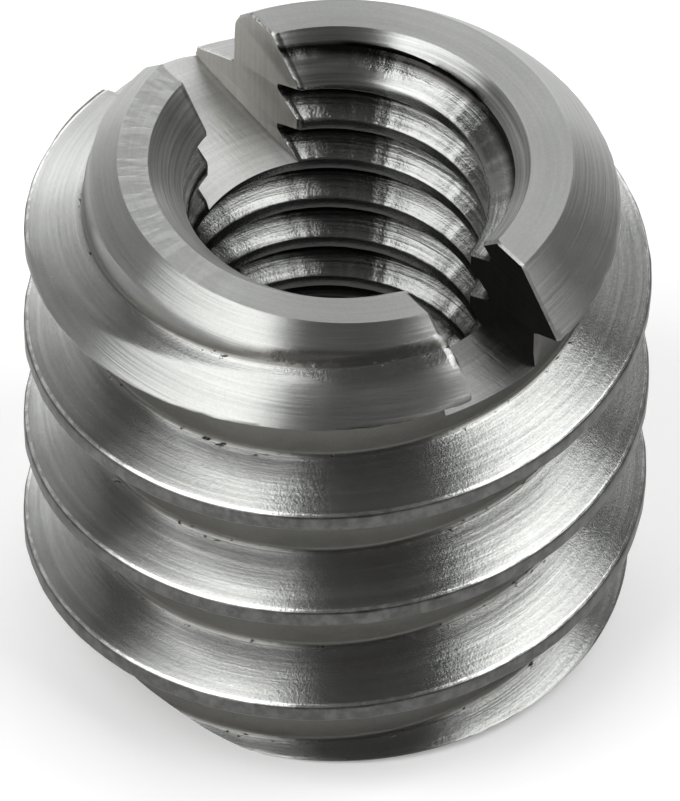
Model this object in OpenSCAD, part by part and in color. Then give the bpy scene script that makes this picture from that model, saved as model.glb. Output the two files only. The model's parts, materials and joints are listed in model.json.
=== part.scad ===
// Slotted threaded insert: one turned steel piece, coarse thread outside, screw bore inside.
// Millimetres, +Z up, origin at the centre of the bottom face, drive slot along X at the top.

/* [Body] */
// Outside diameter over the crests of the coarse thread
body_d = 14; // [11:0.1:18]
// Overall length from bottom face to top face
body_l = 13; // [10:0.5:18]
// Outside diameter of the flat ring on the top face
ring_d = 10; // [9:0.1:10.6]
// Half angle of the lead-in cone below the top face, from the axis
lead_angle = 45; // [35:1:55]
// Width of the 45 degree chamfer round the bottom face
foot_chamfer = 1; // [0.4:0.1:1.4]

/* [Outside thread] */
// Axial distance from crest to crest of the coarse thread
pitch = 3.05; // [2.4:0.05:3.7]
// Radial depth of the coarse thread groove
thread_depth = 1.35; // [0.8:0.05:1.8]
// Axial width of the flat crest land
crest_land = 0.4; // [0.2:0.05:0.6]
// Slope of each thread flank from the plane across the axis
flank_angle = 26.5; // [15:0.5:30]
// Height of the groove centre on the +X side, above the bottom face
groove_start = 1.35; // [0:0.05:3]

/* [Bore] */
// Diameter of the bore, the minor diameter of the screw thread it carries
bore_d = 6.65; // [5:0.05:7.6]
// Diameter of the countersink at the top face
sink_d = 8.5; // [7.8:0.1:8.8]
// Diameter of the smaller countersink at the bottom face
sink_foot_d = 8; // [7.8:0.1:8.8]

/* [Drive slot] */
// Width of the slot across the top face
slot_w = 2.5; // [1.6:0.1:3.4]
// Depth of the slot below the top face, where its floor is deepest
slot_h = 3.3; // [1.5:0.05:4.5]
// Diameter of the disc cutter that sawed the slot, which curves its floor
saw_d = 80; // [40:5:160]
// How far towards -X the deepest line of the slot's floor lies from the axis
saw_off = 1; // [-2:0.1:2]

/* [Hidden] */
body_r = body_d / 2;
ring_r = ring_d / 2;
root_r = body_r - thread_depth;
lead_h = (body_r - ring_r) / tan(lead_angle);
bore_r = bore_d / 2;
sink_h = (sink_d - bore_d) / 2;
sink_foot_h = (sink_foot_d - bore_d) / 2;
// How far a cutting shape runs past the face it cuts
cut = 1;
// How far the thread groove runs out past the crest
over = 0.12;
steps_per_turn = 40;
land_gap = pitch - crest_land;
groove_out = land_gap + 2 * over * tan(flank_angle);
groove_in = max(land_gap - 2 * thread_depth * tan(flank_angle), 0.1);
reach = groove_out / 2 + 0.2;
first_step = floor(-(reach + groove_start) / pitch * steps_per_turn);
last_step = ceil((body_l + reach - groove_start) / pitch * steps_per_turn);
steps = last_step - first_step;

// Four corners of the groove section at step i, as points in space
function groove_ring(i) =
    let (a = (first_step + i) * 360 / steps_per_turn)
    let (z = groove_start + pitch * a / 360)
    let (r_out = body_r + over)
    [
        [root_r * cos(a), root_r * sin(a), z - groove_in / 2],
        [r_out * cos(a), r_out * sin(a), z - groove_out / 2],
        [r_out * cos(a), r_out * sin(a), z + groove_out / 2],
        [root_r * cos(a), root_r * sin(a), z + groove_in / 2]
    ];

// Two triangles that join side j of step i to the next step
function groove_side(i, j) =
    let (k = (j + 1) % 4)
    [
        [4 * i + j, 4 * i + 4 + k, 4 * i + 4 + j],
        [4 * i + j, 4 * i + k, 4 * i + 4 + k]
    ];

// Turned blank: foot chamfer, full diameter, lead-in cone, flat ring
module blank() {
    rotate_extrude($fn = 96)
        polygon([
            [0, 0],
            [body_r - foot_chamfer, 0],
            [body_r, foot_chamfer],
            [body_r, body_l - lead_h],
            [ring_r, body_l],
            [0, body_l]
        ]);
}

// Plain bore at the minor diameter with a countersink at each end
module bore() {
    translate([0, 0, -cut])
        cylinder(r = bore_r, h = body_l + 2 * cut, $fn = 96);
    translate([0, 0, body_l - sink_h])
        cylinder(r1 = bore_r, r2 = sink_d / 2, h = sink_h, $fn = 96);
    cylinder(r1 = sink_foot_d / 2, r2 = bore_r, h = sink_foot_h, $fn = 96);
}

// Screwdriver slot straight across the top, along X, as a disc cutter leaves it
module slot() {
    translate([-saw_off, slot_w / 2, body_l - slot_h + saw_d / 2])
        rotate([90, 0, 0])
            cylinder(d = saw_d, h = slot_w, $fn = 192);
}

// Right-hand helical groove that leaves the coarse thread standing
module groove() {
    ring_points = [for (i = [0:steps]) each groove_ring(i)];
    side_faces = [for (i = [0:steps - 1]) for (j = [0:3]) each groove_side(i, j)];
    first_cap = [[3, 2, 1, 0]];
    last_cap = [[4 * steps, 4 * steps + 1, 4 * steps + 2, 4 * steps + 3]];
    polyhedron(points = ring_points, faces = concat(first_cap, side_faces, last_cap));
}

// The insert: the blank less its bore, slot and thread groove
module insert() {
    color([0.62, 0.63, 0.64])
        difference() {
            blank();
            bore();
            slot();
            groove();
        }
}

insert();
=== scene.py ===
"""Slotted threaded insert: the looks of one turned steel piece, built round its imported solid.

The visible piece is one closed surface. Its outside, its top ring, its bore and its foot are profiles of
radius against height, carried round the axis as whole numpy arrays. Lengths are in millimetres until a mesh
is written, and angles are in radians. The azimuth 0 is +X, the direction of the driver slot.
"""

import json
import logging
import math
from collections.abc import Callable
from dataclasses import dataclass, field
from enum import Enum

import bmesh
import bpy
import numpy as np
from mathutils import Matrix, Vector

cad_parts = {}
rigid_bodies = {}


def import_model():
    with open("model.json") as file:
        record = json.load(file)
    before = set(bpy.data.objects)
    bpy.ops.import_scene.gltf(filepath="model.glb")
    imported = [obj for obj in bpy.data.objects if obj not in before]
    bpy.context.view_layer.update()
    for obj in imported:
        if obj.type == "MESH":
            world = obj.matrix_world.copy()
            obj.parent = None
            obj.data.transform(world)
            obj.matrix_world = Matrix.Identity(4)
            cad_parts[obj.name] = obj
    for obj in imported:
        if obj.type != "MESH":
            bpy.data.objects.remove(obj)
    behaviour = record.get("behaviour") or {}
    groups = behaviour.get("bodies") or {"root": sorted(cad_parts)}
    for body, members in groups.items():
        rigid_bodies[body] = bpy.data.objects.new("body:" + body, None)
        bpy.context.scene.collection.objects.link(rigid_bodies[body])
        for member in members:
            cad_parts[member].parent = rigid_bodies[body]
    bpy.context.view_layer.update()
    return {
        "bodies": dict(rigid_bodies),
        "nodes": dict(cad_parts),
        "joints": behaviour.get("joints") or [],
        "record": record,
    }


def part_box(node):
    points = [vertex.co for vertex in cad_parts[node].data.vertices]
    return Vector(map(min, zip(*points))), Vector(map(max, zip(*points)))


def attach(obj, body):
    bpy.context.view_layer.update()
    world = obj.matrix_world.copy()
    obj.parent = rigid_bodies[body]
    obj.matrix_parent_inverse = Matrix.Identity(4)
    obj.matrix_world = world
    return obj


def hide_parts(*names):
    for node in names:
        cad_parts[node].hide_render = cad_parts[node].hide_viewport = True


log = logging.getLogger("threaded_insert")

MM = 0.001
TURN = 2.0 * math.pi
PIECE = "insert_steel"
WALL_CORNERS = 6  # only a slot wall has more corners than this
FLOOR_SLACK = 1e-5  # how far below the floor a point may lie and still count as on it

Socket = bpy.types.NodeSocket
Colour = tuple[float, float, float, float]
Feed = float | Colour | Socket
RadiusRule = Callable[[np.ndarray, np.ndarray], np.ndarray]
RowRule = Callable[[np.ndarray, float, np.ndarray], np.ndarray]
Wall = tuple[np.ndarray, np.ndarray, np.ndarray, np.ndarray]


def smooth_min(a: np.ndarray, b: np.ndarray, reach: float) -> np.ndarray:
    """The lower of a and b, with the corner rounded: min(a, b) - h^2 reach / 4, h = 1 - |a - b| / reach.

    Args:
        a: First radius or height.
        b: Second radius or height.
        reach: How far apart a and b may be and still be rounded together.

    Returns:
        The rounded minimum.
    """
    h = np.clip(1.0 - np.abs(a - b) / reach, 0.0, None)
    return np.minimum(a, b) - h * h * reach / 4.0


def smooth_max(a: np.ndarray, b: np.ndarray, reach: float) -> np.ndarray:
    """The higher of a and b, with the corner rounded: the mirror image of smooth_min.

    Args:
        a: First radius or height.
        b: Second radius or height.
        reach: How far apart a and b may be and still be rounded together.

    Returns:
        The rounded maximum.
    """
    return -smooth_min(-a, -b, reach)


def ease(x: np.ndarray) -> np.ndarray:
    """Smooth step from 0 at x = 0 to 1 at x = 1: 3x^2 - 2x^3, held flat outside."""
    t = np.clip(x, 0.0, 1.0)
    return t * t * (3.0 - 2.0 * t)


def ripple(angle: np.ndarray, waves: tuple[int, ...], phase: float) -> np.ndarray:
    """Small uneven wave round the axis: the mean of sin(w angle + phase w^2) over the wave counts w.

    Args:
        angle: Angle along the helix or round the axis.
        waves: How many waves each term has in a turn.
        phase: Sets one ripple apart from another.

    Returns:
        Values from about -1 to 1.
    """
    total = sum(np.sin(w * angle + phase * w * w) for w in waves)
    return total / len(waves)


@dataclass(frozen=True)
class SlotCut:
    """The straight driver slot across the top, sawn by a disc cutter whose arc curves its floor."""

    half_width: float
    deepest_z: float
    saw_r: float = 40.0
    saw_off: float = 1.0
    edge: float = 0.07

    def floor(self, x: np.ndarray) -> np.ndarray:
        """Height of the floor at x along the slot: z = deepest + saw - sqrt(saw^2 - (x + off)^2)."""
        return self.deepest_z + self.saw_r - np.sqrt(self.saw_r**2 - (x + self.saw_off) ** 2)


@dataclass(frozen=True)
class CoarseThread:
    """The coarse right-hand thread on the outside."""

    crest_r: float
    pitch: float = 3.05
    root_r: float = 5.66
    land: float = 0.4
    slope: float = math.tan(math.radians(26.5))
    first_ridge_z: float = 2.875
    edge_round: float = 0.12
    root_round: float = 0.11
    wide_from_z: float = 9.0
    wide_over: float = 1.2
    widening: float = 0.24
    burr_at: float = 15.85
    burr_over: float = 0.3
    burr_down: float = 0.25
    burr_out: float = 0.09
    ragged: float = 0.012

    def flank_height(self) -> float:
        """Axial height of a flank."""
        return (self.crest_r - self.root_r) * self.slope

    def ridge_z(self, theta: np.ndarray, ridge: np.ndarray) -> np.ndarray:
        """Height of a ridge's centre: z = z1 + pitch (theta / turn + ridge)."""
        return self.first_ridge_z + self.pitch * (theta / TURN + ridge)

    def drop(self, centre_z: np.ndarray) -> np.ndarray:
        """How much lower the upper flank lies on the last turn, where the groove above it is wider."""
        return self.widening * ease((centre_z - self.wide_from_z) / self.wide_over)

    def burr(self, angle: np.ndarray) -> np.ndarray:
        """Share of the burr where the slot breaks through the last turn: exp(-((angle - at) / over)^4)."""
        return np.exp(-(((angle - self.burr_at) / self.burr_over) ** 4))

    def radius(self, theta: np.ndarray, z: np.ndarray, root: np.ndarray) -> np.ndarray:
        """Radius of the thread: the land, cut by two straight flanks and floored by the root.

        With s the height above the ridge's centre, the flanks are crest + (s + land/2) / slope and
        crest - (s + drop - land/2) / slope.

        Args:
            theta: Azimuth.
            z: Height.
            root: Radius of the groove's floor there.

        Returns:
            The radius.
        """
        ridge = np.round((z - self.first_ridge_z) / self.pitch - theta / TURN)
        centre = self.ridge_z(theta, ridge)
        s = z - centre
        angle = theta + TURN * ridge
        burr = self.burr(angle)
        ragged = self.ragged * ripple(angle, (23, 37, 61, 83), 0.7) + self.burr_down * burr
        lower = self.crest_r + (s + self.land / 2 + ragged) / self.slope
        upper = self.crest_r - (s + self.drop(centre) - self.land / 2) / self.slope
        tooth = smooth_min(lower, upper, self.edge_round)
        crest = self.crest_r - self.ragged * (1.0 + ripple(angle, (17, 29, 53), 1.9)) + self.burr_out * burr
        return smooth_max(root, smooth_min(tooth, crest, self.edge_round), self.root_round)

    def above(self, theta: np.ndarray, z: np.ndarray) -> np.ndarray:
        """Height above the middle of the nearest ridge, which is below 0 on a ridge's underside."""
        ridge = np.round((z - self.first_ridge_z) / self.pitch - theta / TURN)
        return z - self.ridge_z(theta, ridge)

    def row_heights(self, theta: np.ndarray) -> list[np.ndarray]:
        """Heights of the mesh rows that follow each ridge's edges and flanks, one array a row."""
        high = self.land / 2
        low_root = high + self.flank_height()
        edge = np.array([-0.06, -0.03, 0.0, 0.03, 0.06])
        corner = np.array([-0.1, -0.03, 0.0, 0.03, 0.1])
        flank = self.flank_height() * np.array([0.22, 0.36, 0.5, 0.64, 0.78])
        gap = self.pitch / 2 - low_root
        under = np.concatenate([-low_root + corner, -high - flank[[1, 3]][::-1], -high + edge])
        over = np.concatenate([high + edge, high + flank, low_root + corner])
        rows = []
        for ridge in range(-3, 4):
            centre = self.ridge_z(theta, ridge)
            shift = self.drop(centre)
            pushed = self.burr_down * self.burr(theta + TURN * ridge)
            rows += [centre - pushed + s for s in under] + [centre - shift / 2]
            rows += [centre - shift + s for s in over]
            rows += [centre + low_root + gap * share for share in (0.5, 1.0, 1.5)]
        return rows

    def meeting_heights(self, theta: np.ndarray, cone: np.ndarray, foot_r: float) -> list[np.ndarray]:
        """Heights where the flanks meet the lead-in cone r = cone - z and the foot chamfer r = foot_r + z.

        Args:
            theta: Azimuth.
            cone: Sum of radius and height on the lead-in cone.
            foot_r: Radius of the foot chamfer at height 0.

        Returns:
            The heights, one array a row, each held within its own flank.
        """
        rows = []
        near = (-0.03, 0.0, 0.03)
        ends = ((1, cone, -1.0), (2, cone, -1.0), (3, cone, -1.0),
                (-3, foot_r, 1.0), (-2, foot_r, 1.0), (-1, foot_r, 1.0), (0, foot_r, 1.0))
        for ridge, reach, sign in ends:
            centre = self.ridge_z(theta, ridge)
            low = centre - self.land / 2 - self.crest_r * self.slope
            top = centre + self.land / 2 - self.drop(centre) + self.crest_r * self.slope
            under = (low + self.slope * reach) / (1 - sign * self.slope)
            over = (top - self.slope * reach) / (1 + sign * self.slope)
            rows += [self._on_flank(centre, under, -1) + s for s in near]
            rows += [self._on_flank(centre, over, 1) + s for s in near]
        return rows

    def _on_flank(self, centre: np.ndarray, z: np.ndarray, side: int) -> np.ndarray:
        """Holds z between the crest and the root of the flank above (side 1) or below (side -1) a ridge."""
        near, far = self.land / 2, self.land / 2 + self.flank_height()
        s = np.clip((z - centre) * side, near, far)
        return centre + s * side


@dataclass(frozen=True)
class ScrewThread:
    """The fine right-hand thread in the bore."""

    minor_r: float
    pitch: float = 1.25
    major_r: float = 4.0
    crest: float = 0.3125
    crest_low_z: float = 11.43
    edge_round: float = 0.07
    slope: float = math.tan(math.radians(30.0))
    ragged: float = 0.010

    def flank_height(self) -> float:
        """Axial height of a 30 degree flank."""
        return (self.major_r - self.minor_r) * self.slope

    def radius(self, theta: np.ndarray, z: np.ndarray) -> np.ndarray:
        """Radius of the thread: the crest at minor_r, opened by two 30 degree flanks, capped at major_r.

        Args:
            theta: Azimuth.
            z: Height.

        Returns:
            The radius.
        """
        start = self.crest_low_z + self.pitch * theta / TURN
        turn = np.round((z - start - self.crest / 2) / self.pitch)
        s = z - start - turn * self.pitch
        angle = theta + TURN * turn
        ragged = self.ragged * ripple(angle, (19, 31, 47, 71), 2.3)
        under = self.minor_r - (s + ragged) / self.slope
        over = self.minor_r + (s - self.crest - ragged) / self.slope
        tooth = smooth_max(under, over, self.edge_round)
        open_r = smooth_max(tooth, self.minor_r + 0.0 * z, self.edge_round)
        return smooth_min(open_r, self.major_r + 0.0 * z, self.edge_round)

    def row_heights(self, theta: np.ndarray, top: float) -> list[np.ndarray]:
        """Heights of the mesh rows that follow the crests, flanks and roots, one array a row."""
        flank = self.flank_height()
        upper = self.crest + flank
        lower = self.pitch - flank
        near = 0.03
        offsets = (-near, 0.0, near, self.crest - near, self.crest, self.crest + near,
                   self.crest + flank / 2, upper - near, upper + near, lower - near, lower + near,
                   self.pitch - flank / 2)
        start = self.crest_low_z + self.pitch * theta / TURN
        turns = range(-int(top / self.pitch) - 2, 2)
        return [start + self.pitch * k + s for k in turns for s in offsets]


@dataclass(frozen=True)
class Ends:
    """The turned ends: the nose with its lead-in cone, the foot chamfer and the two countersinks."""

    length: float
    foot_r: float = 6.0
    cone_sum: float = 18.05
    nose_off: float = 0.13
    nose_off_at: float = math.radians(72.0)
    nose_corner_z: float = 12.66
    nose_corner_r: float = 5.42
    neck_slope: float = 0.55
    lip: float = 0.34
    lip_from: float = math.radians(296.0)
    lip_over: float = math.radians(50.0)
    lip_to: float = math.radians(356.0)
    sink_top_r: float = 4.25
    sink_foot_r: float = 4.0
    corner: float = 0.045

    def cone(self, theta: np.ndarray) -> np.ndarray:
        """Sum of radius and height on the lead-in cone; the nose was turned a little off the axis."""
        return self.cone_sum + self.nose_off * np.cos(theta - self.nose_off_at)

    def lip_rise(self, theta: np.ndarray, z: np.ndarray) -> np.ndarray:
        """How far the last thread's edge was pushed up outside the cone, just before the slot."""
        round_at = np.mod(theta, TURN)
        there = ease((round_at - self.lip_from) / self.lip_over) * (round_at < self.lip_to)
        below = ease((self.nose_corner_z - 0.04 - z) / 0.12)
        fade = 1.0 - 0.5 * ease((12.3 - z) / 0.8)
        return self.lip * there * below * fade

    def outside(self, theta: np.ndarray, z: np.ndarray) -> np.ndarray:
        """Radius of the turned blank: r = min(cone - z, foot_r + z), with the lip added."""
        nose = self.cone(theta) + self.lip_rise(theta, z) - z
        return smooth_min(nose, self.foot_r + z, 0.12)

    def groove_floor(self, z: np.ndarray, root_r: float) -> np.ndarray:
        """Radius of the groove's floor: root_r, drawn in under the nose to its corner."""
        neck = self.nose_corner_r + (self.nose_corner_z - z) * self.neck_slope
        return smooth_min(neck, root_r + 0.0 * z, 0.06)

    def countersinks(self, z: np.ndarray) -> np.ndarray:
        """Radius of the two 45 degree countersinks: max(top_r - (length - z), foot_r - z)."""
        return np.maximum(self.sink_top_r - (self.length - z), self.sink_foot_r - z)


class StripKind(Enum):
    """What a strip of columns crosses."""

    BLOCK = "block"
    SLOT = "slot"


@dataclass(frozen=True)
class Strip:
    """A run of mesh columns between two slot walls, or across the slot.

    A column of a block keeps a share of the way between the two walls at every radius, so its first and last
    columns lie in the planes of the slot walls. A column of a slot strip lies in a plane parallel to them.
    """

    kind: StripKind
    base: float
    shares: np.ndarray
    insets: np.ndarray
    slot: SlotCut

    def azimuth(self, radius: np.ndarray) -> np.ndarray:
        """Azimuth of every column where the surface has this radius.

        Args:
            radius: Radii, with the columns along the last axis.

        Returns:
            base + wall + share (half turn - 2 wall) for a block, where wall = asin((half width + inset) / r),
            and base + asin(share half width / r) for a slot strip.
        """
        if self.kind is StripKind.SLOT:
            return self.base + np.arcsin(self.shares * self.slot.half_width / radius)
        wall = np.arcsin((self.slot.half_width + self.insets) / radius)
        return self.base + wall + self.shares * (math.pi - 2.0 * wall)

    def floor_meeting(self, radius: RadiusRule, guess: float) -> np.ndarray:
        """Height at which each column meets the slot's floor, or would if it stood at the slot's wall.

        The floor's height changes by a fifth of a change in radius, so twenty rounds of radius from height
        and height from radius settle to far below a micrometre. A block's height goes evenly from the one at
        its first wall to the one at its last.

        Args:
            radius: Gives the radius from azimuth and height.
            guess: First guess of the radius.

        Returns:
            One height a column.
        """
        cut = self.kind is StripKind.SLOT
        across = self.shares if cut else np.ones_like(self.shares)
        way = math.cos(self.base)
        r = np.full_like(self.shares, guess)
        z = np.full_like(self.shares, self.slot.deepest_z)
        for _ in range(20):
            r = radius(self.azimuth(r), z)
            x = way * np.sqrt(r * r - (across * self.slot.half_width) ** 2)
            near, far = self.slot.floor(x), self.slot.floor(-x)
            z = near if cut else near + (far - near) * self.shares
        return z


@dataclass
class MeshParts:
    """Vertices, faces and finish values, gathered strip by strip."""

    points: list[np.ndarray] = field(default_factory=list)
    faces: list[list[int]] = field(default_factory=list)
    turned: list[np.ndarray] = field(default_factory=list)
    above: list[np.ndarray] = field(default_factory=list)
    count: int = 0

    def add_loop_grid(self, grid: np.ndarray, turned: np.ndarray, above: np.ndarray) -> np.ndarray:
        """Adds a grid whose rows close on themselves, with one quad between neighbours.

        Args:
            grid: Points as rows x columns x 3.
            turned: 1 where the surface was left by a plain turning cut and 0 on a thread, rows x columns.
            above: Height above the middle of the nearest outside ridge, rows x columns.

        Returns:
            The vertex numbers, rows x columns.
        """
        rows, cols = grid.shape[:2]
        ids = self.count + np.arange(rows * cols).reshape(rows, cols)
        nxt = np.roll(ids, -1, axis=0)
        quads = np.stack([ids[:, :-1], ids[:, 1:], nxt[:, 1:], nxt[:, :-1]], -1)
        self.points.append(grid.reshape(-1, 3))
        self.turned.append(turned.reshape(-1))
        self.above.append(above.reshape(-1))
        self.faces += quads.reshape(-1, 4).tolist()
        self.count += rows * cols
        return ids


@dataclass
class InsertBody:
    """The insert's one piece: thread, nose, slot, countersinks and bore thread as one closed surface."""

    thread: CoarseThread
    screw: ScrewThread
    ends: Ends
    slot: SlotCut
    block_columns: int = 120
    slot_columns: int = 16
    ring_rows: int = 7
    outside_guess: float = 6.3
    bore_guess: float = 3.6
    edge_over: float = 0.15
    turned_over: float = 0.04
    merge: float = 0.0004
    sliver: float = 0.0002
    sharp: float = math.radians(38.0)

    def strips(self) -> list[Strip]:
        """The strips in order of azimuth, from the middle of the +Y side round to it again."""
        n = self.block_columns
        shares = np.concatenate([[0.0], np.linspace(0.0, 1.0, n), [1.0]])
        insets = np.full(n + 2, self.slot.edge)
        insets[[0, -1]] = 0.0
        middle = shares.size // 2
        across = np.linspace(-1.0, 1.0, self.slot_columns + 1)
        still = np.zeros_like(across)
        return [
            Strip(StripKind.BLOCK, 0.0, shares[middle:], insets[middle:], self.slot),
            Strip(StripKind.SLOT, math.pi, across, still, self.slot),
            Strip(StripKind.BLOCK, math.pi, shares, insets, self.slot),
            Strip(StripKind.SLOT, TURN, across, still, self.slot),
            Strip(StripKind.BLOCK, TURN, shares[: middle + 1], insets[: middle + 1], self.slot),
        ]

    def outside_radius(self, theta: np.ndarray, z: np.ndarray) -> np.ndarray:
        """Radius of the outside: the lower of the turned blank and the thread."""
        root = self.ends.groove_floor(z, self.thread.root_r)
        return smooth_min(self.ends.outside(theta, z), self.thread.radius(theta, z, root), 0.05)

    def bore_radius(self, theta: np.ndarray, z: np.ndarray) -> np.ndarray:
        """Radius of the bore: the higher of the countersinks and the screw thread."""
        return smooth_max(self.ends.countersinks(z), self.screw.radius(theta, z), 0.06)

    def outside_rows(self, theta: np.ndarray, low: float, meeting: np.ndarray) -> np.ndarray:
        """Row heights of the outside at every column, in no order yet; meeting is one of the rows."""
        corner = self.ends.nose_corner_z
        levels = (low, 0.1, 0.3, 0.55, 0.8, 0.93, 1.0, 1.07,
                  corner - 0.3, corner - 0.2, corner - 0.12, corner - 0.06, corner - 0.02, corner + 0.02,
                  corner + 0.06, corner + 0.14, corner + 0.22)
        rows = [np.full_like(theta, level) for level in levels] + [meeting]
        rows += self.thread.row_heights(theta)
        rows += self.thread.meeting_heights(theta, self.ends.cone(theta), self.ends.foot_r)
        return np.stack(rows)

    def bore_rows(self, theta: np.ndarray, low: float, meeting: np.ndarray) -> np.ndarray:
        """Row heights of the bore at every column, in no order yet; meeting is one of the rows."""
        levels = (low, 0.2, 0.4, 0.6, 0.7, 12.1, 12.3, 12.5, 12.65, 12.8)
        rows = [np.full_like(theta, level) for level in levels] + [meeting]
        rows += self.screw.row_heights(theta, self.ends.length)
        return np.stack(rows)

    def wall(self, strip: Strip, rows: RowRule, radius: RadiusRule, guess: float) -> Wall:
        """Solves one surface of revolution on a strip, whose azimuths depend on the radius they meet.

        The azimuth moves by only a few hundredths of a radian for a millimetre of radius, so twelve rounds
        of azimuth from radius and radius from azimuth settle to far below a micrometre.

        Args:
            strip: The columns.
            rows: Gives the row heights from the columns' azimuths, the lowest height and the slot floor's.
            radius: Gives the radius from azimuth and height.
            guess: First guess of the radius, at which the rows are laid out.

        Returns:
            Radius, azimuth and height, each rows x columns, and the height of the slot's floor by column.
        """
        low = self.ends.corner
        meeting = strip.floor_meeting(radius, guess)
        high = meeting if strip.kind is StripKind.SLOT else self.ends.length - low + 0.0 * meeting
        z = rows(strip.azimuth(np.full_like(strip.shares, guess)), low, meeting)
        z = np.sort(np.clip(np.concatenate([z, high[None, :]]), low, high), axis=0)
        r = np.full_like(z, guess)
        for _ in range(12):
            r = radius(strip.azimuth(r), z)
        return r, strip.azimuth(r), z, meeting

    def loop(self, strip: Strip) -> tuple[np.ndarray, np.ndarray, np.ndarray, int, int]:
        """Closed profile loops of a strip: outside up, ring or slot floor in, bore down, foot ring out.

        Args:
            strip: The columns.

        Returns:
            The grid of points, how plainly turned each is, its height above the nearest outside ridge, and
            the number of rows outside and on the ring.
        """
        c = self.ends.corner
        cut = strip.kind is StripKind.SLOT
        ro, to, zo, outside_floor = self.wall(strip, self.outside_rows, self.outside_radius,
                                              self.outside_guess)
        ri, ti, zi, bore_floor = self.wall(strip, self.bore_rows, self.bore_radius, self.bore_guess)
        ends = 0.0 if cut else (strip.insets == 0.0) & ((strip.shares == 0.0) | (strip.shares == 1.0))
        if not cut:
            ro = ro - self.slot.edge * ends * ease((zo - outside_floor) / self.edge_over)
            to = strip.azimuth(ro)
            ri = ri + self.slot.edge * ends * ease((zi - bore_floor) / self.edge_over)
            ti = strip.azimuth(ri)
        outer = np.stack([ro * np.cos(to), ro * np.sin(to), zo], -1)
        inner = np.stack([ri * np.cos(ti), ri * np.sin(ti), zi], -1)[::-1]
        share = np.linspace(0.0, 1.0, self.ring_rows)[:, None, None]
        if cut:
            ring = outer[-1] + (inner[0] - outer[-1]) * share
            ring[..., 2] = self.slot.floor(ring[..., 0])
        else:
            gap = c / (np.linalg.norm(outer[-1] - inner[0], axis=-1))[None, :, None]
            share_top = gap + (1.0 - 2.0 * gap) * share
            ring = outer[-1] + (inner[0] - outer[-1]) * share_top
            ring[..., 2] = self.ends.length - self.slot.edge * ends
        gap = c / (np.linalg.norm(outer[0] - inner[-1], axis=-1))[None, :, None]
        share_foot = gap + (1.0 - 2.0 * gap) * share
        foot = inner[-1] + (outer[0] - inner[-1]) * share_foot
        foot[..., 2] = 0.0
        grid = np.concatenate([outer, ring, inner, foot])
        root = self.ends.groove_floor(zo, self.thread.root_r)
        clear = self.ends.outside(to, zo) - self.thread.radius(to, zo, root)
        sunk = self.ends.countersinks(zi) - self.screw.radius(ti, zi)
        turned = np.concatenate([1.0 - ease(clear / self.turned_over), np.ones(ring.shape[:2]),
                                 ease(0.5 + sunk / self.turned_over)[::-1], np.ones(foot.shape[:2])])
        above = np.zeros(turned.shape)
        above[: outer.shape[0]] = self.thread.above(to, zo)
        return grid, turned, above, outer.shape[0], ring.shape[0]

    def surface(self) -> MeshParts:
        """All strips and the four slot walls between them."""
        parts = MeshParts()
        made = []
        for strip in self.strips():
            grid, turned, above, outside, ring = self.loop(strip)
            ids = parts.add_loop_grid(grid, turned, above)
            made.append((grid, ids, outside, ring))
        for left, right in zip(made[:-1], made[1:]):
            self._slot_wall(parts, left, right)
        return parts

    def _slot_wall(self, parts: MeshParts, left: tuple, right: tuple) -> None:
        """Closes one slot wall with a flat face between a block's last column and a slot strip's first."""
        left_is_block = left[0][..., 2].max() > right[0][..., 2].max()
        grid, ids, outside, ring = left if left_is_block else right
        column = -1 if left_is_block else 0
        _, floor_ids, floor_outside, floor_ring = right if left_is_block else left
        floor_column = 0 if left_is_block else -1
        bore_rows = ids.shape[0] - ring - outside - ring
        used = np.arange(outside + ring + bore_rows)
        above = used[grid[used, column, 2] > self.slot.floor(grid[used, column, 0]) - FLOOR_SLACK]
        floor = floor_ids[floor_outside:floor_outside + floor_ring, floor_column]
        parts.faces.append(ids[above, column].tolist() + floor[::-1].tolist())

    def build(self, steel: bpy.types.Material) -> bpy.types.Object:
        """Makes the mesh object, merged, closed and with its normals outwards.

        Args:
            steel: The material of the whole piece.

        Returns:
            The object, at the origin.
        """
        parts = self.surface()
        points = np.concatenate(parts.points) * MM
        mesh = bpy.data.meshes.new(PIECE)
        mesh.from_pydata(points.tolist(), [], parts.faces)
        for name, values in (("turned", parts.turned), ("above", parts.above)):
            layer = mesh.attributes.new(name, "FLOAT", "POINT")
            layer.data.foreach_set("value", np.concatenate(values).astype(np.float32))
        bm = bmesh.new()
        bm.from_mesh(mesh)
        bmesh.ops.remove_doubles(bm, verts=bm.verts, dist=self.merge * MM)
        bmesh.ops.dissolve_degenerate(bm, edges=bm.edges, dist=self.sliver * MM)
        bmesh.ops.recalc_face_normals(bm, faces=bm.faces)
        open_edges = sum(1 for e in bm.edges if not e.is_manifold)
        bm.to_mesh(mesh)
        bm.free()
        mesh.shade_smooth()
        for wall in (face for face in mesh.polygons if face.loop_total > WALL_CORNERS):
            wall.use_smooth = False
        mesh.set_sharp_from_angle(angle=self.sharp)
        mesh.materials.append(steel)
        piece = bpy.data.objects.new(PIECE, mesh)
        bpy.context.scene.collection.objects.link(piece)
        mesh.calc_loop_triangles()
        log.info("%s: %d vertices, %d triangles, %d open edges", PIECE, len(mesh.vertices),
                 len(mesh.loop_triangles), open_edges)
        return piece


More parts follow.
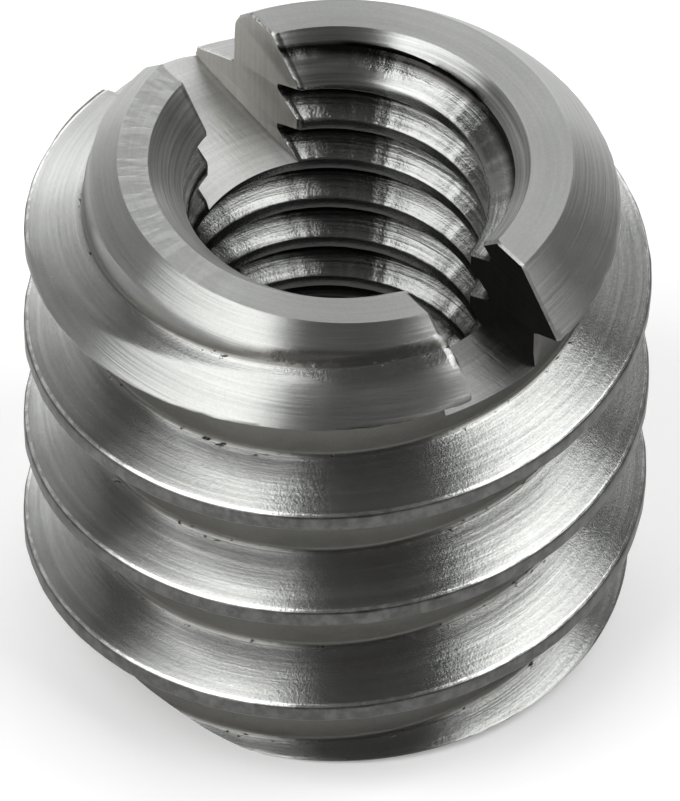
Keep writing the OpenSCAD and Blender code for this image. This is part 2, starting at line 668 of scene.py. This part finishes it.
class ShaderGraph:
    """Adds shader nodes to a material and wires them, one short call a node."""

    def __init__(self, material: bpy.types.Material) -> None:
        """Takes over the node tree of a material.

        Args:
            material: The material, with nodes in use.
        """
        self.nodes = material.node_tree.nodes
        self.links = material.node_tree.links

    def feed(self, socket: Socket, value: Feed) -> None:
        """Wires another node's socket into this one, or sets a plain number or colour."""
        if isinstance(value, Socket):
            self.links.new(value, socket)
        else:
            socket.default_value = value

    def math(self, operation: str, a: Feed, b: Feed = 0.0) -> Socket:
        """Result of one arithmetic operation on a and b."""
        node = self.nodes.new("ShaderNodeMath")
        node.operation = operation
        self.feed(node.inputs[0], a)
        self.feed(node.inputs[1], b)
        return node.outputs[0]

    def difference(self, a: Feed, b: Feed) -> Socket:
        """a less b."""
        return self.math("SUBTRACT", a, b)

    def total(self, *terms: Feed) -> Socket:
        """Sum of the terms."""
        result = terms[0]
        for term in terms[1:]:
            result = self.math("ADD", result, term)
        return result

    def product(self, *terms: Feed) -> Socket:
        """Product of the terms."""
        result = terms[0]
        for term in terms[1:]:
            result = self.math("MULTIPLY", result, term)
        return result

    def weighted(self, base: float, *parts: tuple[Socket, float]) -> Socket:
        """The base and each part times its weight, added up."""
        return self.total(base, *(self.product(part, weight) for part, weight in parts))

    def step(self, x: Feed, low: float, high: float, start: float = 0.0, end: float = 1.0) -> Socket:
        """Smooth step from start at x = low to end at x = high."""
        node = self.nodes.new("ShaderNodeMapRange")
        node.interpolation_type = "SMOOTHSTEP"
        names = ("Value", "From Min", "From Max", "To Min", "To Max")
        for name, value in zip(names, (x, low, high, start, end)):
            self.feed(node.inputs[name], value)
        return node.outputs["Result"]

    def band(self, x: Feed, low: float, high: float, soft: float) -> Socket:
        """1 where x lies between low and high, with soft edges."""
        rise = self.step(x, low - soft, low + soft)
        return self.product(rise, self.step(x, high - soft, high + soft, 1.0, 0.0))

    def noise(self, at: tuple[Socket, Socket, Socket], scale: tuple[float, float, float], w: Feed,
              detail: float, roughness: float = 0.55) -> Socket:
        """Four-dimensional noise, from 0 to 1 with its middle near 0.5.

        Args:
            at: Three values that say where.
            scale: What each of them is multiplied by.
            w: The fourth value.
            detail: How many finer layers are laid over the first.
            roughness: How strong the finer layers are.

        Returns:
            The noise.
        """
        place = self.nodes.new("ShaderNodeCombineXYZ")
        for socket, value, factor in zip(place.inputs, at, scale):
            self.feed(socket, self.product(value, factor))
        node = self.nodes.new("ShaderNodeTexNoise")
        node.noise_dimensions = "4D"
        self.feed(node.inputs["Vector"], place.outputs[0])
        self.feed(node.inputs["W"], w)
        node.inputs["Scale"].default_value = 1.0
        node.inputs["Detail"].default_value = detail
        node.inputs["Roughness"].default_value = roughness
        return node.outputs[0]

    def tint(self, share: Feed, a: Feed, b: Feed) -> Socket:
        """Colour between a and b."""
        node = self.nodes.new("ShaderNodeMix")
        node.data_type = "RGBA"
        self.feed(node.inputs[0], share)
        self.feed(node.inputs[6], a)
        self.feed(node.inputs[7], b)
        return node.outputs[2]

    def attribute(self, name: str) -> Socket:
        """Value of one of the mesh's own attributes."""
        node = self.nodes.new("ShaderNodeAttribute")
        node.attribute_name = name
        return node.outputs["Fac"]

    def bump(self, height: Feed) -> Socket:
        """Normal bent by a height in millimetres."""
        node = self.nodes.new("ShaderNodeBump")
        node.inputs["Strength"].default_value = 1.0
        node.inputs["Distance"].default_value = MM
        self.feed(node.inputs["Height"], height)
        return node.outputs[0]


@dataclass(frozen=True)
class Place:
    """A point of the piece as the shader finds it, in millimetres, and its direction from the axis."""

    x: Socket
    y: Socket
    z: Socket
    r: Socket
    cos: Socket
    sin: Socket

    @classmethod
    def of(cls, g: ShaderGraph) -> "Place":
        """Takes the place from Object coordinates."""
        split = g.nodes.new("ShaderNodeSeparateXYZ")
        g.links.new(g.nodes.new("ShaderNodeTexCoord").outputs["Object"], split.inputs[0])
        x, y, z = (g.product(split.outputs[i], 1.0 / MM) for i in range(3))
        r = g.math("SQRT", g.total(g.product(x, x), g.product(y, y)))
        return cls(x, y, z, r, g.math("DIVIDE", x, r), g.math("DIVIDE", y, r))

    def facing(self, g: ShaderGraph, azimuth: float) -> Socket:
        """1 towards this azimuth, 0 at right angles to it and -1 on the far side."""
        return g.total(g.product(self.cos, math.cos(azimuth)), g.product(self.sin, math.sin(azimuth)))


@dataclass(frozen=True)
class Zones:
    """Where each finish lies: 1 there and 0 elsewhere, with soft edges.

    Rugged is the torn part of the flanks, which is rougher to one side of the insert. The zones of the roots,
    the lands, the ridges' undersides and the deep bore also carry painted shade, and the crest edges' zone a
    painted highlight.
    """

    slot: Socket
    slot_wall: Socket
    off_slot: Socket
    far_wall: Socket
    ring: Socket
    left_ring: Socket
    nose: Socket
    sink: Socket
    threaded: Socket
    flank: Socket
    rugged: Socket
    painted_highlight: Socket
    land: Socket
    under: Socket
    root: Socket
    bore: Socket
    deep: Socket


@dataclass(frozen=True)
class Patterns:
    """Noise that breaks up the finish. On a flank a line of constant radius follows the helix."""

    coarse_lines: Socket
    fine_lines: Socket
    drag: Socket
    grain: Socket
    patch: Socket
    milled: Socket
    chatter: Socket


@dataclass(frozen=True)
class TurnedSteel:
    """Bright turned steel: circular tool lines, torn thread flanks, smooth roots and a few pits. Painted
    shade darkens the roots, the ridges' undersides, the crest lands, the bore and the slot's +X end; painted
    light lightens the slot floor and the left of the top ring; painted highlights line the crest edges and
    the slot floor.

    Circular patterns use the radius, the height and the direction (cos, sin) round the axis, so they have no
    break where the angle wraps round. Noise is scaled in waves a millimetre, and in waves a radian round the
    axis. A zone's soft edge is given by its two ends, and the depths and weights stand beside the zone they
    are for.
    """

    slot: SlotCut
    crest_r: float
    root_r: float
    top_z: float
    bright: Colour = (0.317, 0.322, 0.311, 1.0)
    # painted shade: the groove floor between the outside ridges is darkened
    root: Colour = (0.15, 0.148, 0.138, 1.0)
    # painted shade: the crest lands are darkened, and mottled by the drag noise
    land: Colour = (0.085, 0.085, 0.08, 1.0)
    # painted light: the slot floor's milled steel, lightened well above the turned steel
    milled: Colour = (0.60, 0.605, 0.59, 1.0)
    sawn: Colour = (0.39, 0.38, 0.355, 1.0)
    pit: Colour = (0.02, 0.019, 0.017, 1.0)
    # painted shade: the undersides of the outside ridges
    under: Colour = (0.08, 0.077, 0.07, 1.0)
    # near black: painted shade in the bore thread's roots and on the +X end of the far slot wall, and also
    # the colour of the stain on the far wall
    deep: Colour = (0.03, 0.029, 0.027, 1.0)
    # painted highlight colour for the crest edges and for a line on the slot floor
    painted_highlight: Colour = (0.70, 0.70, 0.695, 1.0)
    grooving: float = 0.85
    groove_turn: float = 0.25
    rugged_at: float = math.radians(32.0)
    chatter_at: float = math.radians(228.0)
    inside_r: tuple[float, float] = (4.30, 4.35)
    # radii over which the bore thread turns to painted shade towards its roots
    deep_r: tuple[float, float] = (3.72, 3.92)
    plain: float = 0.93
    polish: float = 0.28
    pit_depth: float = 0.012

    def zones(self, g: ShaderGraph, at: Place) -> Zones:
        """Works out where each finish lies, from the place and the mesh's own attributes.

        Args:
            g: The material's nodes.
            at: The place.

        Returns:
            The zones.
        """
        along = g.total(at.x, self.slot.saw_off)
        floor = g.difference(at.z, g.product(along, along, 0.5 / self.slot.saw_r))
        side, half = g.math("ABSOLUTE", at.y), self.slot.half_width
        slot = g.product(g.math("LESS_THAN", side, half + 0.002),
                         g.math("GREATER_THAN", floor, self.slot.deepest_z - 0.006))
        slot_wall = g.product(slot, g.math("GREATER_THAN", side, half - 0.002))
        off_slot = g.difference(1.0, slot)
        turned, above = g.attribute("turned"), g.attribute("above")
        threaded = g.product(g.difference(1.0, turned), off_slot)
        ring = g.step(at.z, self.top_z - 0.015, self.top_z - 0.005)
        off_ring = g.difference(1.0, ring)
        inside = g.step(at.r, *self.inside_r, 1.0, 0.0)
        outside = g.difference(1.0, inside)
        flank = g.product(threaded, g.band(at.r, self.root_r + 0.07, self.crest_r - 0.05, 0.03))
        over_root = (at.r, self.root_r + 0.03, self.root_r + 0.09)
        bore = g.product(threaded, inside)
        return Zones(
            slot=slot,
            slot_wall=slot_wall,
            off_slot=off_slot,
            far_wall=g.product(slot_wall, g.math("GREATER_THAN", at.y, 0.0)),
            ring=ring,
            left_ring=g.product(ring, g.step(at.facing(g, self.chatter_at), 0.2, 0.8)),
            nose=g.product(turned, off_slot, outside, off_ring),
            sink=g.product(turned, off_slot, inside, off_ring),
            threaded=threaded,
            flank=flank,
            rugged=g.product(flank, g.step(at.facing(g, self.rugged_at), -0.75, 0.75, 0.22, 1.0)),
            # painted highlight band along the upper edge of each crest
            painted_highlight=g.product(threaded, g.band(at.r, self.crest_r - 0.11, self.crest_r - 0.05, 0.015),
                           g.step(above, -0.1, 0.0)),
            # crest lands, whose colour carries painted shade
            land=g.product(threaded, g.step(at.r, self.crest_r - 0.06, self.crest_r - 0.03)),
            # underside of each outside ridge, darkened as painted shade
            under=g.product(threaded, outside, g.step(above, -0.24, -0.18, 1.0, 0.0), g.step(*over_root)),
            # groove floor between the outside ridges, darkened as painted shade
            root=g.product(threaded, outside, g.step(*over_root, 1.0, 0.0)),
            bore=bore,
            # roots of the bore thread, blackened as painted shade
            deep=g.product(bore, g.step(at.r, *self.deep_r)),
        )

    def patterns(self, g: ShaderGraph, at: Place) -> Patterns:
        """Makes the noise patterns.

        Args:
            g: The material's nodes.
            at: The place.

        Returns:
            The patterns, each from 0 to 1, but the chatter from -1 to 1.
        """
        turn, cube = (at.r, at.cos, at.sin), (at.x, at.y, at.z)
        strokes = g.noise(turn, (1.3, 17.0, 17.0), 6.4, 2.0)
        return Patterns(
            coarse_lines=g.noise(turn, (9.0, 0.9, 0.9), g.product(at.z, 0.35), 3.0, 0.6),
            fine_lines=g.noise(turn, (15.0, 1.4, 1.4), g.product(at.z, 15.0), 2.0),
            drag=g.noise(turn, (9.0, 26.0, 26.0), g.product(at.z, 3.0), 3.0, 0.6),
            grain=g.noise(cube, (18.0, 18.0, 18.0), 1.7, 3.0, 0.6),
            patch=g.noise(cube, (0.9, 0.9, 0.9), 4.1, 2.0),
            milled=g.noise(cube, (0.8, 13.0, 13.0), 0.3, 3.0),
            chatter=g.step(strokes, 0.42, 0.62, -1.0, 1.0),
        )

    def pits(self, g: ShaderGraph, at: Place, zones: Zones, patterns: Patterns) -> Socket:
        """Share of a pit: small torn spots where a flank meets the root."""
        return g.product(g.band(at.r, self.root_r + 0.02, self.root_r + 0.13, 0.03), zones.threaded,
                         g.step(patterns.drag, 0.61, 0.66))

    def height(self, g: ShaderGraph, zones: Zones, patterns: Patterns, pits: Socket) -> Socket:
        """Height of the bump, each pattern times its depth in each zone.

        Args:
            g: The material's nodes.
            zones: Where each finish lies.
            patterns: The noise.
            pits: Share of a pit.

        Returns:
            The height in millimetres.
        """
        coarse = g.total(g.product(zones.rugged, 0.008), g.product(zones.bore, 0.02))
        fine = g.weighted(0.0012, (zones.nose, 0.0085), (zones.sink, 0.006))
        drag = g.total(g.product(zones.rugged, 0.004), g.product(zones.land, 0.010),
                       g.product(zones.root, 0.012))
        grain = g.weighted(0.0006, (zones.rugged, 0.0034), (zones.bore, 0.006))
        raised = g.total(
            g.product(patterns.coarse_lines, coarse),
            g.product(patterns.fine_lines, fine, zones.off_slot),
            g.product(patterns.drag, drag),
            g.product(patterns.grain, grain),
            g.product(patterns.milled, zones.slot, 0.008),
            g.product(patterns.chatter, zones.left_ring, 0.0014),
        )
        return g.difference(raised, g.product(pits, self.pit_depth))

    def colour(self, g: ShaderGraph, at: Place, zones: Zones, patterns: Patterns, pits: Socket) -> Socket:
        """Colour of the metal: one coat over another, each over its own zone. Several coats are painted shade
        or painted highlights, and the slot floor's coat is painted light.

        Args:
            g: The material's nodes.
            at: The place.
            zones: Where each finish lies.
            patterns: The noise.
            pits: Share of a pit.

        Returns:
            The colour, before the light and dark of the patterns.
        """
        stain = g.product(zones.far_wall, g.band(at.x, -5.60, -5.46, 0.02), g.band(at.z, 11.1, 11.95, 0.1))
        # painted highlight: a bright line on the slot floor close to the far wall, towards the -X end
        painted_floor_highlight = g.product(zones.slot, g.band(at.y, 1.09, 1.19, 0.02), g.step(at.x, -3.4, -3.0, 1.0, 0.0))
        coats = (
            # painted shade: the groove floor darkened
            (zones.root, self.root),
            # painted shade on the crest lands, mottled by the drag noise
            (g.product(zones.land, g.step(patterns.drag, 0.35, 0.7, 1.0, 0.78)), self.land),
            # painted shade under the outside ridges
            (zones.under, self.under),
            # painted light: the slot floor lightened
            (zones.slot, self.milled),
            (zones.slot_wall, self.sawn),
            # painted shade: the far slot wall near black towards its +X end
            (g.product(zones.far_wall, g.step(at.x, 1.0, 3.0)), self.deep),
            (stain, self.deep),
            # painted highlight line on the slot floor
            (g.product(painted_floor_highlight, 0.8), self.painted_highlight),
            (pits, self.pit),
            # painted shade: the bore thread near black towards its roots
            (zones.deep, self.deep),
            # painted highlight on the crest edges, broken up by the drag noise
            (g.product(zones.painted_highlight, g.step(patterns.drag, 0.40, 0.58, 0.35, 1.0)), self.painted_highlight),
        )
        colour = self.bright
        for share, coat in coats:
            colour = g.tint(share, colour, coat)
        return colour

    def shade(self, g: ShaderGraph, at: Place, zones: Zones, patterns: Patterns) -> Socket:
        """How light or dark the patterns and zones make the metal, as a factor near 1. It also paints shade
        into the bore and the slot's +X end, and light onto the left of the top ring.

        Args:
            g: The material's nodes.
            at: The place.
            zones: Where each finish lies.
            patterns: The noise.

        Returns:
            The factor.
        """
        coarse, fine, grain = (
            g.difference(lines, 0.5) for lines in (patterns.coarse_lines, patterns.fine_lines, patterns.grain)
        )
        return g.weighted(
            self.plain,
            (g.product(coarse, g.weighted(0.4, (zones.threaded, 0.3))), 1.0),
            (g.product(grain, g.weighted(0.3, (zones.rugged, 0.2))), 1.0),
            (patterns.patch, 0.15),
            (g.product(patterns.chatter, zones.left_ring), 0.09),
            # painted light: the top ring a little lighter on its left side
            (zones.left_ring, 0.04),
            # painted shade: the whole bore thread darker
            (zones.bore, -0.2),
            (g.product(zones.sink, fine), 1.6),
            # painted shade: the slot darker towards its +X end
            (g.product(zones.slot, g.step(at.x, -2.0, 3.0)), -0.4),
        )

    def roughness(self, g: ShaderGraph, zones: Zones, patterns: Patterns) -> Socket:
        """Roughness of each zone, with slow patches in it."""
        return g.weighted(
            self.polish,
            (zones.ring, 0.04),
            (zones.nose, 0.04),
            (zones.sink, 0.04),
            (zones.slot, 0.22),
            (zones.land, 0.06),
            (zones.root, 0.05),
            (zones.bore, -0.06),
            (zones.flank, -0.03),
            (g.difference(patterns.patch, 0.5), 0.10),
        )

    def make(self) -> bpy.types.Material:
        """Builds the material on Object coordinates, with reflections drawn out as on turned metal."""
        material = bpy.data.materials.new("turned_steel")
        material.use_nodes = True
        g = ShaderGraph(material)
        at = Place.of(g)
        zones, patterns = self.zones(g, at), self.patterns(g, at)
        pits = self.pits(g, at, zones, patterns)
        dim = g.nodes.new("ShaderNodeVectorMath")
        dim.operation = "SCALE"
        g.feed(dim.inputs[0], self.colour(g, at, zones, patterns, pits))
        g.feed(dim.inputs["Scale"], self.shade(g, at, zones, patterns))
        round_axis = g.nodes.new("ShaderNodeTangent")
        round_axis.direction_type = "RADIAL"
        round_axis.axis = "Z"
        shader = g.nodes["Principled BSDF"]
        shader.inputs["Metallic"].default_value = 1.0
        shader.inputs["Anisotropic"].default_value = self.grooving
        shader.inputs["Anisotropic Rotation"].default_value = self.groove_turn
        g.feed(shader.inputs["Tangent"], round_axis.outputs[0])
        g.feed(shader.inputs["Base Color"], dim.outputs[0])
        g.feed(shader.inputs["Roughness"], self.roughness(g, zones, patterns))
        g.feed(shader.inputs["Normal"], g.bump(self.height(g, zones, patterns, pits)))
        return material


@dataclass(frozen=True)
class Viewpoint:
    """The camera: looks down at the slotted end from 45.8 degrees, about half a metre away."""

    azimuth: float = math.radians(-38.2)
    elevation: float = math.radians(45.8)
    distance: float = 506.0
    lens: float = 1016.7
    roll: float = math.radians(0.87)
    target: tuple[float, float, float] = (0.0, 0.0, 6.0)
    right_by: float = 0.087
    down_by: float = 0.414

    def place(self) -> None:
        """Makes the camera and sets it as the scene's own."""
        ce, se = math.cos(self.elevation), math.sin(self.elevation)
        ca, sa = math.cos(self.azimuth), math.sin(self.azimuth)
        back = Vector((ce * ca, ce * sa, se))
        right = Vector((-sa, ca, 0.0))
        up = back.cross(right)
        c, s = math.cos(self.roll), math.sin(self.roll)
        right, up = right * c + up * s, up * c - right * s
        aim = Vector(self.target) + right * self.right_by - up * self.down_by
        turn = Matrix((right, up, back)).transposed().to_4x4()
        data = bpy.data.cameras.new("camera")
        data.lens = self.lens
        data.clip_end = 10.0
        camera = bpy.data.objects.new("camera", data)
        camera.matrix_world = Matrix.Translation((aim + back * self.distance) * MM) @ turn
        bpy.context.scene.collection.objects.link(camera)
        bpy.context.scene.camera = camera


@dataclass(frozen=True)
class Studio:
    """Plain pale floor, soft panels at both sides and a soft sky."""

    floor_side: float = 3000.0
    front: float = math.radians(-38.2)
    floor_white: float = 0.94
    floor_glow: float = 0.15
    sky: float = 0.10
    exposure: float = 0.35

    def floor(self) -> bpy.types.Object:
        """Makes the floor, a square at height 0."""
        h = self.floor_side * MM / 2
        mesh = bpy.data.meshes.new("floor")
        mesh.from_pydata([(-h, -h, 0), (h, -h, 0), (h, h, 0), (-h, h, 0)], [], [(0, 1, 2, 3)])
        material = bpy.data.materials.new("floor_white")
        material.use_nodes = True
        shader = material.node_tree.nodes["Principled BSDF"]
        white = self.floor_white
        shader.inputs["Base Color"].default_value = (white, white, white, 1.0)
        shader.inputs["Roughness"].default_value = 0.9
        shader.inputs["Emission Color"].default_value = (1.0, 1.0, 1.0, 1.0)
        shader.inputs["Emission Strength"].default_value = self.floor_glow
        mesh.materials.append(material)
        floor = bpy.data.objects.new("floor", mesh)
        bpy.context.scene.collection.objects.link(floor)
        return floor

    def panel(self, name: str, centre: tuple[float, float, float], facing: tuple[float, float, float],
              size: tuple[float, float], radiance: float) -> None:
        """Adds one soft panel. Its place is given as the camera sees it: right, away and up.

        Args:
            name: Name of the light.
            centre: Millimetres right of, behind and above the insert.
            facing: The way the panel faces, in the same axes.
            size: Width along the level and height, in millimetres.
            radiance: How bright its surface is.
        """
        turn = Matrix.Rotation(math.radians(90.0) + self.front, 3, "Z")
        way = turn @ Vector(facing).normalized()
        level = way.cross(Vector((0.0, 0.0, 1.0))).normalized()
        frame = Matrix((level, level.cross(way).normalized() * -1.0, way * -1.0)).transposed().to_4x4()
        data = bpy.data.lights.new(name, "AREA")
        data.shape = "RECTANGLE"
        data.size, data.size_y = size[0] * MM, size[1] * MM
        data.energy = radiance * math.pi * data.size * data.size_y
        light = bpy.data.objects.new(name, data)
        light.matrix_world = Matrix.Translation(turn @ Vector(centre) * MM) @ frame
        bpy.context.scene.collection.objects.link(light)

    def light(self) -> None:
        """Sets the sky and hangs the panels."""
        scene = bpy.context.scene
        world = bpy.data.worlds.new("sky")
        world.use_nodes = True
        background = world.node_tree.nodes["Background"]
        background.inputs["Color"].default_value = (self.sky, self.sky, self.sky, 1.0)
        scene.world = world
        scene.view_settings.view_transform = "Standard"
        scene.view_settings.exposure = self.exposure
        self.panel("left", (-150, -130, 295), (1, 0, 0), (270, 410), 2.75)
        self.panel("right", (150, -50, 280), (-1, 0, 0), (215, 290), 3.0)
        self.panel("back", (30, 220, 220), (0, -1, -1), (500, 160), 0.65)
        self.panel("side", (-300, 200, 130), (3, -2, 0), (500, 260), 0.26)
        self.panel("low_back", (0, 300, 120), (0, -3, -1), (400, 200), 1.6)


def main() -> None:
    """Builds the insert, its finish, the studio and the camera."""
    logging.basicConfig(level=logging.INFO, format="%(name)s: %(message)s")
    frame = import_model()
    low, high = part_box("insert")
    mounts = {m["name"]: m for m in frame["record"]["mounts"]}
    length = (high.z - low.z) / MM
    crest_r = (high.x - low.x) / MM / 2
    slot = SlotCut(half_width=1.25, deepest_z=mounts["drive_slot"]["pos_m"][2] / MM)
    thread = CoarseThread(crest_r=crest_r)
    body = InsertBody(
        thread=thread,
        screw=ScrewThread(minor_r=mounts["bore"]["dims"]["r_mm"]),
        ends=Ends(length=length),
        slot=slot,
    )
    steel = TurnedSteel(slot=slot, crest_r=crest_r, root_r=thread.root_r, top_z=length)
    piece = body.build(steel.make())
    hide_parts("insert")
    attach(piece, "root")
    studio = Studio()
    studio.floor()
    studio.light()
    Viewpoint().place()
    bpy.context.view_layer.update()


if __name__ == "__main__":
    main()
